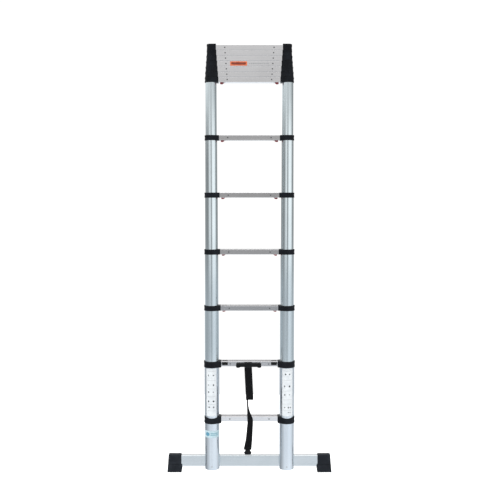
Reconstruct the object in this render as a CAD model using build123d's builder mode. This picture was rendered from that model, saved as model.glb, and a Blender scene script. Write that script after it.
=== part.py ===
"""A telescoping ladder: thirteen rungs on nested round stiles, with a wide foot bar.

Millimetres. +Z is up, +X is to the right of a person who faces the rungs, and that person
stands on the -Y side. The origin is on the ground, in the middle of the ladder's footprint.

The lowest tubes carry rungs 1 and 2. Each rung from 3 to 13 is the top of a section of its
own: two tubes, the rung between them and a collar at each end. A section slides in the tubes
of the one below it. Sections 3 to 7 are drawn out here, and sections 8 to 13 are pushed home.

Places along a rung are measured inboard from the surface of its tube. Depths are measured
from the plane of the stiles' axes, and are negative towards the person.
"""

import os
from math import cos, radians, sin

from build123d import *

# Layout
LAST_RUNG = 13
FIRST_STEP = 304.5  # height of rung 1's centre
STEP = 289.25  # rung spacing of a section that is drawn out
STACK = 26.5  # rung spacing of a section that is pushed home
DRAWN_OUT_TO = 7  # the sections above this one are pushed home
STILE_X = 194.0  # from the middle of the ladder to a stile's axis
PLAY = 0.05  # between pieces that are pressed or glued together
RIGHT = 1
LEFT = -1

# Stile tubes: each is smaller than the one that it slides in
BASE_RADIUS = 38.5
RADIUS_STEP = 2.0
TUBE_WALL = 1.5
TUBE_FOOT = 38.0  # height of the lowest tubes' ends
TUBE_TOP = 10.0  # a tube's end above its rung's centre
OVERLAP = 90.0  # how far a drawn-out tube reaches below the next rung down
GUIDE_HEIGHT = 10.0
GUIDE_PROUD = 0.2

# Rungs: a hollow section with a grooved tread
RUNG_DEPTH = 46.0
RUNG_HEIGHT = 25.6
RUNG_CORNER = 1.2
RUNG_INNER_CORNER = 0.8
RUNG_WALL = 1.8
TREAD_WALL = 2.4
GROOVE_DEPTH = 0.8
GROOVES = 8
GROOVE_PITCH = 4.6

# Collars: the moulded ends that join a rung to its tubes
COLLAR_HEIGHT = 26.2
BOTTOM_COLLAR_DROP = 22.5  # the lowest two pairs reach further below their rungs
SECOND_COLLAR_DROP = 19.0
COLLAR_SLOPE = 0.35  # rung 1's collars slope down in front of the rung
COLLAR_WALL = 3.0
TOP_COLLAR_WALL = 4.4  # the topmost collars carry the end caps
NOSE = 10.0  # how far a collar reaches inboard of its tube
NOSE_WIDTH = 42.0
NOSE_LENGTH = 4.0
BAND_DEPTH = 0.8  # the recessed band between a collar's two lips
BAND_HEIGHT = 12.0
COLLAR_CHAMFER = 0.9
SPIGOT_LENGTH = 50.0
SPIGOT_PLAY = 0.1
LIP_PLAY = 0.4
END_CAP_HEIGHT = 6.0
END_CAP_ROUNDING = 2.2
END_CAP_PLUG = 10.0

# Latches: a spring-loaded pin on a slide at each end of rungs 2 to 12
PIN_RADIUS = 3.5
PIN_HOLE = 3.8
PIN_DROP = 6.8  # the pin's axis below the rung's centre
PIN_TIP = -1.7  # the tip's place, just short of the tube inside
PIN_GRIP = 10.0  # length of pin held in the slide
SLIDE_START = 14.0
SLIDE_LENGTH = 33.0
SLIDE_WIDTH = 12.0
SLIDE_HEIGHT = 8.2
LATCH_TRAVEL = 7.0
CHANNEL_START = 12.0
CHANNEL_WIDTH = 13.0
CHANNEL_HEIGHT = 9.2
TAB_PLACE = 27.0
TAB_LENGTH = 18.0
TAB_WIDTH = 14.0
TAB_DROP = 7.5  # how far the tab hangs below the rung
TAB_GAP = 0.3
TAB_TIP_START = 3.0  # along the tab, from its outboard end
TAB_TIP_END = 11.0
TAB_TOE = 5.0  # depth of its outboard end
TAB_HEEL = 2.5  # depth of its inboard end
TAB_ROUNDING = 1.5
POCKET_DEPTH = 8.4  # the tread pocket takes the tab of the rung above
PAD_PLACE = 27.5
PAD_LENGTH = 33.0
PAD_HEIGHT = 14.0
PAD_RISE = 2.0  # the pad's centre above the rung's centre
PAD_THICKNESS = 5.2
PAD_RIDGES = 5
PAD_RIDGE_PITCH = 5.0
PAD_RIDGE_MARGIN = 2.0  # above and below the ridges
PAD_CHAMFER = 1.2
ARM_LENGTH = 14.0
ARM_HEIGHT = 7.0
ARM_BACK = -10.5
ARM_FRONT = -18.0

# Foot bar, across the backs of the lowest tubes
BAR_HEIGHT = 58.0
BAR_DEPTH = 25.0
BAR_WALL = 2.0
BAR_BOTTOM = 31.5
BAR_HALF_LENGTH = 424.0
BAR_CORNER = 3.0
SADDLE_THICKNESS = 1.0  # where a saddle is thinnest, between tube and bar
SADDLE_WIDTH = 54.0
SADDLE_WRAP = 12.0
BOLT_RADIUS = 4.0
BOLT_HOLE = 4.2
BOLT_HEAD_RADIUS = 7.0
BOLT_HEAD = 4.5
BOLT_HEAD_CHAMFER = 1.4
BOLT_SOCKET = 2.5  # half the width of its hexagonal socket
BOLT_SOCKET_DEPTH = 2.8
NUT_DEPTH = 14.0
NUT_LENGTH = 6.5
NUT_WIDTH = 13.0
PLUG_HEIGHT = 50.0
PLUG_FLOOR = 4.0
PLUG_WALL = 2.5
PLUG_CORE = 22.0
RIVET_HEIGHT = 56.0
RIVET_RADIUS = 2.0
RIVET_HEAD_RADIUS = 3.4
RIVET_HEAD = 1.2
RIVET_LENGTH = 6.0

# Foot caps: a sleeve on the bar's end over a thicker sole block
CAP_HEIGHT = 94.0
CAP_STEP = 42.5
CAP_INNER = 355.5
CAP_OUTER = 434.0
CAP_INSET = 4.0
CAP_TAPER = 3.5
CAP_CHAMFER = 22.0
CAP_ROUNDING = 3.0
SLEEVE_CHAMFER = 1.2
SOLE_CHAMFER = 1.0
CAP_FLARE = 10.0  # width of the bevel down a cap's front inboard edge
CAP_FLARE_DEPTH = 3.6
SLEEVE_WALL = 4.6
SOLE_WALL = 6.0
SOLE_GROOVES = 5
SOLE_PITCH = 12.0
SOLE_GROOVE_WIDTH = 4.0
SOLE_GROOVE_DEPTH = 2.0

# Carry strap: a grip on rung 2, a hanging loop and a twisted tail with a buckle
STRAP_WIDTH = 37.0
STRAP_THICKNESS = 2.4
STRAP_DEPTH = -33.0
GRIP_MIDDLE = -4.0
GRIP_THICKNESS = 12.0
GRIP_ROUNDING = 4.0
GRIP_EDGE = 2.5  # rounding of its long edges
GRIP_RISE = -4.2  # the grip's centre relative to rung 2's centre
# Half of the grip's outline: place from its middle and height from its centre
GRIP_OUTLINE = (
    (58.5, 8.9),
    (64.5, 5.0),
    (65.0, -8.0),
    (60.5, -13.0),
    (50.0, -13.0),
    (42.0, -9.0),
)
BLOCK_WIDTH = 38.0
BLOCK_FOOT = -19.0
BLOCK_TOP = 10.0
LOOP_TOP_X = -6.0
LOOP_END_X = 2.0
LOOP_END = 408.0
TAIL_END = 146.0
BUCKLE_WIDTH = 42.0
BUCKLE_SHOULDER = 26.0
BUCKLE_HEIGHT = 19.5
BUCKLE_THICKNESS = 11.0
BUCKLE_ROUNDING = 5.0
BUCKLE_EDGE = 3.0
BUCKLE_NECK = 6.0
BUCKLE_NECK_WIDTH = 27.0
BUCKLE_RIBS = 3
BUCKLE_RIB_LENGTH = 16.0
BUCKLE_RIB_DEPTH = 0.8
BUCKLE_RIB_PITCH = 3.6
# The tail's stations: height, place across, depth and turn from facing forwards, in degrees
TAIL_STATIONS = (
    (445.0, 1.2, -30.0, 0.0),
    (408.0, -10.0, -12.8, 80.0),
    (380.0, -9.5, -22.0, 80.0),
    (350.0, -6.0, -33.0, 72.0),
    (325.0, 0.0, -40.5, 58.0),
    (298.0, 2.0, -38.8, 47.0),
    (250.0, -1.5, -37.0, 40.0),
    (190.0, -5.5, -34.5, 24.0),
    (TAIL_END, -8.5, STRAP_DEPTH, 0.0),
)

BAR_FRONT = BASE_RADIUS + SADDLE_THICKNESS
BAR_BACK = BAR_FRONT + BAR_DEPTH
BAR_MIDDLE = BAR_BOTTOM + BAR_HEIGHT / 2
CAP_BACK = BAR_BACK + SOLE_WALL


def tail_front(station):
    """How far a station of the strap's tail stands in front of the stiles' axes."""
    turn = radians(station[3])
    return STRAP_WIDTH / 2 * sin(turn) + STRAP_THICKNESS / 2 * cos(turn) - station[2]


STRAP_FRONT = max(tail_front(station) for station in TAIL_STATIONS)
STILE_Y = (STRAP_FRONT - CAP_BACK) / 2


def rung_height(rung):
    """Height of a rung's centre."""
    drawn_out = min(rung, DRAWN_OUT_TO) - 1
    pushed_home = rung - 1 - drawn_out
    return FIRST_STEP + STEP * drawn_out + STACK * pushed_home


def tube_radius(rung):
    """Outer radius of the tubes that carry a rung. Rungs 1 and 2 share the lowest tubes."""
    return BASE_RADIUS - RADIUS_STEP * max(rung - 2, 0)


def surface_x(rung, place=0.0):
    """The X of a place along a rung, on the right-hand side."""
    return STILE_X - tube_radius(rung) - place


def collar_radius(rung):
    wall = TOP_COLLAR_WALL if rung == LAST_RUNG else COLLAR_WALL
    return tube_radius(rung) + wall


def has_latch(rung):
    return 2 <= rung < LAST_RUNG


def facing_front(depth):
    """An upright plane that faces the person: its x is +X, its y is +Z, and it extrudes forwards."""
    return Plane.XZ.offset(-STILE_Y - depth)


def collar_bottom(rung):
    """Height of the lower end of a rung's collars."""
    drop = {1: BOTTOM_COLLAR_DROP, 2: SECOND_COLLAR_DROP}.get(rung, COLLAR_HEIGHT / 2)
    return rung_height(rung) - drop


def collar_top(rung):
    return rung_height(rung) + COLLAR_HEIGHT / 2


def save(piece, name):
    piece.part.label = name
    export_step(piece.part, f"parts/{name}.step")


def make_tubes(bottom, top, radius, pin_heights):
    """Both stile tubes of a section, with the pin holes in their inboard sides."""
    with BuildPart() as tubes:
        with BuildSketch(Plane.XY.offset(bottom)):
            with Locations((STILE_X, STILE_Y)):
                Circle(radius)
                Circle(radius - TUBE_WALL, mode=Mode.SUBTRACT)
        extrude(amount=top - bottom)
        with BuildSketch(Plane.YZ.offset(STILE_X - radius - TUBE_WALL)):
            with Locations(*[(STILE_Y, height) for height in pin_heights]):
                Circle(PIN_HOLE)
        extrude(amount=radius, mode=Mode.SUBTRACT)
        mirror(about=Plane.YZ)
    return tubes


def make_rung(rung):
    """A hollow rung that spans the gap between its two collars."""
    height = rung_height(rung)
    void_height = RUNG_HEIGHT - RUNG_WALL - TREAD_WALL
    reach = LATCH_TRAVEL / 2
    with BuildPart() as hollow:
        with BuildSketch(Plane.YZ):
            with Locations((STILE_Y, height)):
                RectangleRounded(RUNG_DEPTH, RUNG_HEIGHT, RUNG_CORNER)
            with Locations((STILE_Y, height + RUNG_HEIGHT / 2)):
                with GridLocations(GROOVE_PITCH, 1, GROOVES, 1):
                    Rectangle(GROOVE_PITCH / 2, 2 * GROOVE_DEPTH, mode=Mode.SUBTRACT)
            with Locations((STILE_Y, height + (RUNG_WALL - TREAD_WALL) / 2)):
                RectangleRounded(
                    RUNG_DEPTH - 2 * RUNG_WALL,
                    void_height,
                    RUNG_INNER_CORNER,
                    mode=Mode.SUBTRACT,
                )
        extrude(amount=surface_x(rung, NOSE), both=True)
        if has_latch(rung):
            pocket_x = surface_x(rung, TAB_PLACE - RADIUS_STEP + reach)
            with BuildSketch(Plane.XY.offset(height + RUNG_HEIGHT / 2)):
                with Locations((pocket_x, STILE_Y), (-pocket_x, STILE_Y)):
                    Rectangle(TAB_LENGTH + LATCH_TRAVEL + 2, TAB_WIDTH + 1)
            extrude(amount=-TREAD_WALL - 1, mode=Mode.SUBTRACT)
        slot_x = surface_x(rung, TAB_PLACE + reach)
        if rung == 2:
            with BuildSketch(facing_front(-RUNG_DEPTH / 2)):
                with Locations((slot_x, height + PAD_RISE), (-slot_x, height + PAD_RISE)):
                    Rectangle(ARM_LENGTH + LATCH_TRAVEL + 1, ARM_HEIGHT + 1)
            extrude(amount=-RUNG_WALL - 1, mode=Mode.SUBTRACT)
        elif has_latch(rung):
            with BuildSketch(Plane.XY.offset(height - RUNG_HEIGHT / 2)):
                with Locations((slot_x, STILE_Y), (-slot_x, STILE_Y)):
                    Rectangle(TAB_LENGTH + LATCH_TRAVEL + 1, SLIDE_WIDTH + 1)
            extrude(amount=RUNG_WALL + 1, mode=Mode.SUBTRACT)
    return hollow


def make_layer(rung, bottom, top, inset=0.0):
    """One layer of a collar: a round ring that runs tangent into a flat nose."""
    with BuildPart() as layer:
        with BuildSketch(Plane.XY.offset(bottom)):
            with Locations((STILE_X, STILE_Y)):
                Circle(collar_radius(rung) - inset)
            with Locations((surface_x(rung, NOSE - NOSE_LENGTH / 2), STILE_Y)):
                Rectangle(NOSE_LENGTH, NOSE_WIDTH - 2 * inset)
            make_hull()
        extrude(amount=top - bottom)
    return layer


def lip_radius(rung):
    """The hole in a collar's top: most collars close on the smaller tube inside."""
    if rung == 1:
        return tube_radius(rung) + PLAY
    if rung == LAST_RUNG:
        return tube_radius(rung) - TUBE_WALL
    return tube_radius(rung + 1) + LIP_PLAY


def make_collars(rung):
    """Both collars of a rung: a lipped ring on the tube and a spigot inside the rung."""
    height = rung_height(rung)
    bottom = collar_bottom(rung)
    top = collar_top(rung)
    lip = (top - bottom - BAND_HEIGHT) / 2
    band = make_layer(rung, bottom + lip, top - lip, BAND_DEPTH)
    bottom_lip = make_layer(rung, bottom, bottom + lip)
    top_lip = make_layer(rung, top - lip, top)
    floor = height - RUNG_HEIGHT / 2 + RUNG_WALL
    ceiling = height + RUNG_HEIGHT / 2 - TREAD_WALL
    reach = LATCH_TRAVEL / 2
    with BuildPart() as collars:
        add(bottom_lip.part)
        add(top_lip.part)
        add(band.part)
        ends = collars.faces().filter_by(Axis.Z).group_by(Axis.Z)
        chamfer((ends[0] + ends[-1]).edges(), COLLAR_CHAMFER)
        if rung == 1:
            slope_start = NOSE_WIDTH / 2
            slope_end = collar_radius(rung) + 1
            fall = (slope_end - slope_start) * COLLAR_SLOPE
            with BuildSketch(Plane.YZ):
                with BuildLine():
                    Polyline(
                        (STILE_Y - slope_start, top),
                        (STILE_Y - slope_end, top),
                        (STILE_Y - slope_end, top - fall),
                        close=True,
                    )
                make_face()
            extrude(amount=STILE_X + collar_radius(rung), mode=Mode.SUBTRACT)
        with BuildSketch(Plane.YZ.offset(surface_x(rung, NOSE))):
            with Locations((STILE_Y, (floor + ceiling) / 2)):
                RectangleRounded(
                    RUNG_DEPTH - 2 * RUNG_WALL - 2 * SPIGOT_PLAY,
                    ceiling - floor - 2 * SPIGOT_PLAY,
                    RUNG_INNER_CORNER,
                )
        extrude(amount=-SPIGOT_LENGTH)
        with BuildSketch(Plane.XY.offset(bottom)):
            with Locations((STILE_X, STILE_Y)):
                Circle(tube_radius(rung) + PLAY)
        extrude(amount=height + TUBE_TOP + PLAY - bottom, mode=Mode.SUBTRACT)
        with BuildSketch(Plane.XY.offset(bottom)):
            with Locations((STILE_X, STILE_Y)):
                Circle(lip_radius(rung))
        extrude(amount=top - bottom, mode=Mode.SUBTRACT)
        if has_latch(rung):
            channel = SPIGOT_LENGTH + NOSE - CHANNEL_START
            channel_x = surface_x(rung, CHANNEL_START + channel / 2)
            with Locations((channel_x, STILE_Y, floor + CHANNEL_HEIGHT / 2)):
                Box(channel, CHANNEL_WIDTH, CHANNEL_HEIGHT, mode=Mode.SUBTRACT)
            with BuildSketch(Plane.YZ.offset(surface_x(rung, CHANNEL_START + PLAY))):
                with Locations((STILE_Y, height - PIN_DROP)):
                    Circle(PIN_HOLE)
            extrude(amount=tube_radius(rung), mode=Mode.SUBTRACT)
            pocket_x = surface_x(rung, TAB_PLACE - RADIUS_STEP + reach)
            pocket_z = height + RUNG_HEIGHT / 2
            with Locations((pocket_x, STILE_Y, pocket_z)):
                Box(
                    TAB_LENGTH + LATCH_TRAVEL + 2,
                    TAB_WIDTH + 1,
                    2 * POCKET_DEPTH,
                    mode=Mode.SUBTRACT,
                )
        if rung == 2:
            arm_x = surface_x(rung, TAB_PLACE + reach)
            arm_depth = (RUNG_DEPTH + SLIDE_WIDTH) / 2
            with Locations((arm_x, STILE_Y - arm_depth / 2, floor + CHANNEL_HEIGHT / 2)):
                Box(
                    ARM_LENGTH + LATCH_TRAVEL + 1,
                    arm_depth,
                    CHANNEL_HEIGHT,
                    mode=Mode.SUBTRACT,
                )
            with Locations((arm_x, STILE_Y + ARM_FRONT, (floor + ceiling) / 2)):
                Box(
                    ARM_LENGTH + LATCH_TRAVEL + 1,
                    2 * (ARM_BACK - ARM_FRONT + 1),
                    ceiling - floor,
                    mode=Mode.SUBTRACT,
                )
        mirror(about=Plane.YZ)
    return collars


def make_guides(rung):
    """The bushes under a section's tubes, which run in the tubes outside them."""
    bottom = rung_height(rung) - STEP - OVERLAP - GUIDE_HEIGHT
    with BuildPart() as guides:
        with BuildSketch(Plane.XY.offset(bottom)):
            with Locations((STILE_X, STILE_Y), (-STILE_X, STILE_Y)):
                Circle(tube_radius(rung) + GUIDE_PROUD)
                Circle(tube_radius(rung) - TUBE_WALL, mode=Mode.SUBTRACT)
        extrude(amount=GUIDE_HEIGHT)
    return guides


def make_section(rung):
    """A sliding section: its tubes and rung are one node, its collars and bushes another."""
    height = rung_height(rung)
    pins = [height - PIN_DROP - STEP]
    if has_latch(rung):
        pins.append(height - PIN_DROP)
    bottom = height - STEP - OVERLAP
    tubes = make_tubes(bottom, height + TUBE_TOP, tube_radius(rung), pins)
    hollow = make_rung(rung)
    with BuildPart() as frame:
        add(tubes.part)
        add(hollow.part)
    save(frame, f"section_{rung:02d}_tubes_and_rung")
    collars = make_collars(rung)
    guides = make_guides(rung)
    with BuildPart() as mouldings:
        add(collars.part)
        add(guides.part)
    save(mouldings, f"section_{rung:02d}_collars")


def make_latch(rung, side):
    """A steel pin in a moulded slide, with a tab under the rung or a thumb pad in front of it."""
    height = rung_height(rung)
    pin_z = height - PIN_DROP

    def x_of(place):
        return side * surface_x(rung, place)

    with BuildPart() as latch:
        with Locations((x_of(SLIDE_START + SLIDE_LENGTH / 2), STILE_Y, pin_z)):
            Box(SLIDE_LENGTH, SLIDE_WIDTH, SLIDE_HEIGHT)
        if rung == 2:
            arm_y = STILE_Y + (ARM_FRONT - SLIDE_WIDTH / 2) / 2
            with Locations((x_of(TAB_PLACE), arm_y, pin_z)):
                Box(ARM_LENGTH, -ARM_FRONT - SLIDE_WIDTH / 2, SLIDE_HEIGHT)
            post_foot = pin_z - SLIDE_HEIGHT / 2
            post_top = height + PAD_RISE + ARM_HEIGHT / 2
            post_y = STILE_Y + (ARM_FRONT + ARM_BACK) / 2
            with Locations((x_of(TAB_PLACE), post_y, (post_foot + post_top) / 2)):
                Box(ARM_LENGTH, ARM_BACK - ARM_FRONT, post_top - post_foot)
            with BuildSketch(facing_front(ARM_FRONT)):
                with Locations((x_of(TAB_PLACE), height + PAD_RISE)):
                    Rectangle(ARM_LENGTH, ARM_HEIGHT)
            extrude(amount=ARM_FRONT + RUNG_DEPTH / 2 + 1)
            with BuildSketch(facing_front(-RUNG_DEPTH / 2 - TAB_GAP)):
                with Locations((x_of(PAD_PLACE), height + PAD_RISE)):
                    RectangleRounded(PAD_LENGTH, PAD_HEIGHT, 2)
            extrude(amount=PAD_THICKNESS)
            chamfer(latch.faces().sort_by(Axis.Y)[0].edges(), PAD_CHAMFER)
            with BuildSketch(facing_front(-RUNG_DEPTH / 2 - TAB_GAP - PAD_THICKNESS)):
                with Locations((x_of(PAD_PLACE), height + PAD_RISE)):
                    with GridLocations(PAD_RIDGE_PITCH, 1, PAD_RIDGES, 1):
                        Rectangle(PAD_RIDGE_PITCH / 2, PAD_HEIGHT - 2 * PAD_RIDGE_MARGIN)
            extrude(amount=-1, mode=Mode.SUBTRACT)
        else:
            under = height - RUNG_HEIGHT / 2 - TAB_GAP
            with BuildSketch(Plane.XY.offset(under)):
                with Locations((x_of(TAB_PLACE), STILE_Y)):
                    Rectangle(TAB_LENGTH, SLIDE_WIDTH)
            extrude(amount=pin_z - under)
            tip = height - RUNG_HEIGHT / 2 - TAB_DROP
            outboard = TAB_PLACE - TAB_LENGTH / 2
            with BuildSketch(facing_front(0)) as profile:
                with BuildLine():
                    Polyline(
                        (x_of(outboard), under),
                        (x_of(outboard + TAB_LENGTH), under),
                        (x_of(outboard + TAB_LENGTH), under - TAB_HEEL),
                        (x_of(outboard + TAB_TIP_END), tip),
                        (x_of(outboard + TAB_TIP_START), tip),
                        (x_of(outboard), under - TAB_TOE),
                        close=True,
                    )
                make_face()
                fillet(profile.vertices().group_by(Axis.Y)[0], TAB_ROUNDING)
            extrude(amount=TAB_WIDTH / 2, both=True)
        with BuildSketch(Plane.YZ.offset(x_of(SLIDE_START))):
            with Locations((STILE_Y, pin_z)):
                Circle(PIN_RADIUS + PLAY)
        extrude(amount=-side * PIN_GRIP, mode=Mode.SUBTRACT)
    with BuildPart() as pin:
        with BuildSketch(Plane.YZ.offset(x_of(PIN_TIP))):
            with Locations((STILE_Y, pin_z)):
                Circle(PIN_RADIUS)
        extrude(amount=-side * (SLIDE_START + PIN_GRIP - PIN_TIP - PLAY))
        chamfer(pin.edges().group_by(Axis.X)[0 if side == LEFT else -1], 0.6)
    with BuildPart() as whole:
        add(latch.part)
        add(pin.part)
    hand = "left" if side == LEFT else "right"
    save(whole, f"latch_{hand}_{rung:02d}")


def make_end_caps():
    """Caps on the topmost collars, plugged into the smallest tubes."""
    top = collar_top(LAST_RUNG)
    plate = make_layer(LAST_RUNG, top, top + END_CAP_HEIGHT)
    with BuildPart() as caps:
        add(plate.part)
        fillet(caps.faces().sort_by(Axis.Z)[-1].edges(), END_CAP_ROUNDING)
        with BuildSketch(Plane.XY.offset(top)):
            with Locations((STILE_X, STILE_Y)):
                Circle(tube_radius(LAST_RUNG) - TUBE_WALL - PLAY)
        extrude(amount=-END_CAP_PLUG)
        mirror(about=Plane.YZ)
    return caps


def make_lower_tubes():
    """The lowest tubes, also drilled for the foot bar's bolts and the plugs' rivets."""
    radius = tube_radius(2)
    height = rung_height(2)
    tubes = make_tubes(TUBE_FOOT, height + TUBE_TOP, radius, [height - PIN_DROP])
    with BuildPart() as drilled:
        add(tubes.part)
        with BuildSketch(facing_front(radius + 1)):
            with Locations((STILE_X, BAR_MIDDLE), (-STILE_X, BAR_MIDDLE)):
                Circle(BOLT_HOLE)
        extrude(amount=radius, mode=Mode.SUBTRACT)
        with BuildSketch(facing_front(-radius / 2)):
            with Locations((STILE_X, RIVET_HEIGHT), (-STILE_X, RIVET_HEIGHT)):
                Circle(RIVET_RADIUS + PLAY)
        extrude(amount=radius, mode=Mode.SUBTRACT)
    return drilled


def make_bar():
    """The foot bar: a rounded rectangular tube."""
    with BuildPart() as bar:
        with BuildSketch(Plane.YZ):
            with Locations((STILE_Y + (BAR_FRONT + BAR_BACK) / 2, BAR_MIDDLE)):
                RectangleRounded(BAR_DEPTH, BAR_HEIGHT, BAR_CORNER)
                RectangleRounded(
                    BAR_DEPTH - 2 * BAR_WALL,
                    BAR_HEIGHT - 2 * BAR_WALL,
                    1,
                    mode=Mode.SUBTRACT,
                )
        extrude(amount=BAR_HALF_LENGTH, both=True)
        with BuildSketch(facing_front(BAR_BACK + 1)):
            with Locations((STILE_X, BAR_MIDDLE), (-STILE_X, BAR_MIDDLE)):
                Circle(BOLT_HOLE)
        extrude(amount=BAR_DEPTH + 2, mode=Mode.SUBTRACT)
    return bar


def make_saddles():
    """Cradles between the round tubes and the flat bar."""
    with BuildPart() as saddles:
        with BuildSketch(Plane.XY.offset(BAR_BOTTOM)):
            with Locations((STILE_X, STILE_Y + BAR_FRONT - SADDLE_WRAP / 2)):
                Rectangle(SADDLE_WIDTH, SADDLE_WRAP)
            with Locations((STILE_X, STILE_Y)):
                Circle(BASE_RADIUS + PLAY, mode=Mode.SUBTRACT)
        extrude(amount=BAR_HEIGHT)
        with BuildSketch(facing_front(BAR_FRONT + 1)):
            with Locations((STILE_X, BAR_MIDDLE)):
                Circle(BOLT_HOLE)
        extrude(amount=SADDLE_WRAP, mode=Mode.SUBTRACT)
        mirror(about=Plane.YZ)
    return saddles


def make_plugs():
    """Cups in the lowest tubes' ends, each with a core that holds its bolt's nut."""
    bore = BASE_RADIUS - TUBE_WALL - PLAY
    with BuildPart() as plugs:
        with BuildSketch(Plane.XY.offset(TUBE_FOOT)):
            with Locations((STILE_X, STILE_Y)):
                Circle(bore)
        extrude(amount=PLUG_HEIGHT)
        with BuildSketch(Plane.XY.offset(TUBE_FOOT + PLUG_FLOOR)):
            with Locations((STILE_X, STILE_Y)):
                Circle(bore - PLUG_WALL)
            with Locations((STILE_X, STILE_Y + bore / 2)):
                Rectangle(PLUG_CORE, bore, mode=Mode.SUBTRACT)
        extrude(amount=PLUG_HEIGHT, mode=Mode.SUBTRACT)
        with BuildSketch(facing_front(bore + 1)):
            with Locations((STILE_X, BAR_MIDDLE)):
                Circle(BOLT_HOLE)
        extrude(amount=bore + 2, mode=Mode.SUBTRACT)
        with BuildSketch(facing_front(NUT_DEPTH + NUT_LENGTH + PLAY)):
            with Locations((STILE_X, BAR_MIDDLE)):
                RegularPolygon(NUT_WIDTH / 2 + PLAY, 6, major_radius=False)
        extrude(amount=NUT_DEPTH + NUT_LENGTH + 1, mode=Mode.SUBTRACT)
        with BuildSketch(facing_front(-bore / 2)):
            with Locations((STILE_X, RIVET_HEIGHT)):
                Circle(RIVET_RADIUS + PLAY)
        extrude(amount=bore, mode=Mode.SUBTRACT)
        mirror(about=Plane.YZ)
    return plugs


def make_fasteners():
    """The foot bar's bolts and nuts, and the rivets that hold the tubes' plugs."""
    with BuildPart() as fasteners:
        with BuildSketch(facing_front(BAR_BACK)):
            with Locations((STILE_X, BAR_MIDDLE)):
                Circle(BOLT_RADIUS)
        extrude(amount=BAR_BACK - NUT_DEPTH + 1)
        with BuildSketch(facing_front(BAR_BACK + PLAY)):
            with Locations((STILE_X, BAR_MIDDLE)):
                Circle(BOLT_HEAD_RADIUS)
        extrude(amount=-BOLT_HEAD)
        chamfer(fasteners.faces().sort_by(Axis.Y)[-1].edges(), BOLT_HEAD_CHAMFER)
        with BuildSketch(facing_front(BAR_BACK)):
            with Locations((STILE_X, BAR_MIDDLE)):
                Circle(BOLT_RADIUS)
        extrude(amount=-1)
        with BuildSketch(facing_front(BAR_BACK + BOLT_HEAD + PLAY)):
            with Locations((STILE_X, BAR_MIDDLE)):
                RegularPolygon(BOLT_SOCKET, 6, major_radius=False)
        extrude(amount=BOLT_SOCKET_DEPTH, mode=Mode.SUBTRACT)
        with BuildSketch(facing_front(NUT_DEPTH + NUT_LENGTH)):
            with Locations((STILE_X, BAR_MIDDLE)):
                RegularPolygon(NUT_WIDTH / 2, 6, major_radius=False)
                Circle(BOLT_RADIUS + PLAY, mode=Mode.SUBTRACT)
        extrude(amount=NUT_LENGTH)
        with BuildSketch(facing_front(-BASE_RADIUS - PLAY)):
            with Locations((STILE_X, RIVET_HEIGHT)):
                Circle(RIVET_HEAD_RADIUS)
        extrude(amount=RIVET_HEAD)
        chamfer(fasteners.faces().sort_by(Axis.Y)[0].edges(), 0.8)
        with BuildSketch(facing_front(-BASE_RADIUS - PLAY)):
            with Locations((STILE_X, RIVET_HEIGHT)):
                Circle(RIVET_RADIUS)
        extrude(amount=-RIVET_LENGTH)
        mirror(about=Plane.YZ)
    return fasteners


def make_flare(side, inner, front):
    """The wedge taken off the front inboard edge of a foot cap."""
    with BuildPart() as wedge:
        with BuildSketch(Plane.XY):
            with BuildLine():
                Polyline(
                    (side * inner, front),
                    (side * (inner + CAP_FLARE), front),
                    (side * inner, front + CAP_FLARE_DEPTH),
                    close=True,
                )
            make_face()
        extrude(amount=CAP_HEIGHT)
    return wedge.part


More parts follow.
